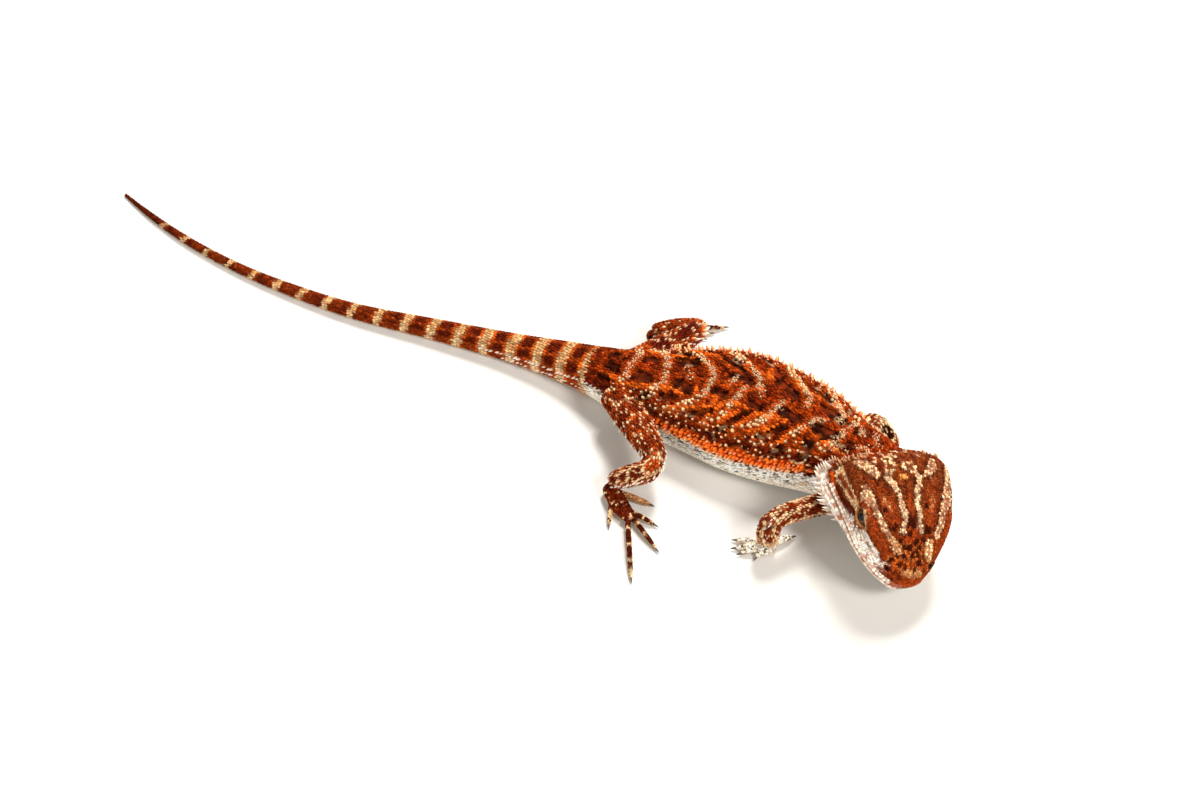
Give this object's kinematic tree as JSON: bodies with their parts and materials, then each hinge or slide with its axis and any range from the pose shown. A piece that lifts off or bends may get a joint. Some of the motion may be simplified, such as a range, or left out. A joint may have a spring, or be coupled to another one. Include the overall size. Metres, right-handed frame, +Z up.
{
  "type": "bearded dragon",
  "caption": "Young bearded dragon lying flat with its head turned to its right and its tail straight behind, a still life-size model that rests on belly, feet and tail.",
  "frame": {"origin": "middle of the whole animal's bounding box, on the floor it lies on", "axes": "+X along the trunk from hips to shoulders, +Y to the animal's left, +Z up"},
  "size_m": [0.2754, 0.0946, 0.0309],
  "materials": {
    "head_skin": "dark maroon scales with grey-cream stripes, satin",
    "pale_skin": "cream-white scales flecked with pink, satin",
    "body_skin": "orange-red keeled scales with dark brown blotches and rows of cream tubercles, satin",
    "tail_skin": "reddish-brown keeled scales with cream bands, satin",
    "leg_skin": "reddish-brown keeled scales with cream bars, satin",
    "eye": "dark, wet gloss",
    "claw": "dark horn, polished by wear"
  },
  "bodies": {
    "root": {"head": "head_skin", "lower_jaw": "pale_skin", "eye_left": "eye", "eye_right": "eye", "neck": "body_skin", "torso": "body_skin", "tail_1": "tail_skin", "tail_2": "tail_skin", "tail_3": "tail_skin", "tail_4": "tail_skin", "upper_arm_right": "leg_skin", "forearm_right": "leg_skin", "hand_right": "leg_skin", "upper_arm_left": "leg_skin", "forearm_left": "leg_skin", "hand_left": "leg_skin", "thigh_right": "leg_skin", "shin_right": "leg_skin", "foot_right": "leg_skin", "thigh_left": "leg_skin", "shin_left": "leg_skin", "foot_left": "leg_skin"}
  },
  "joints": []
}
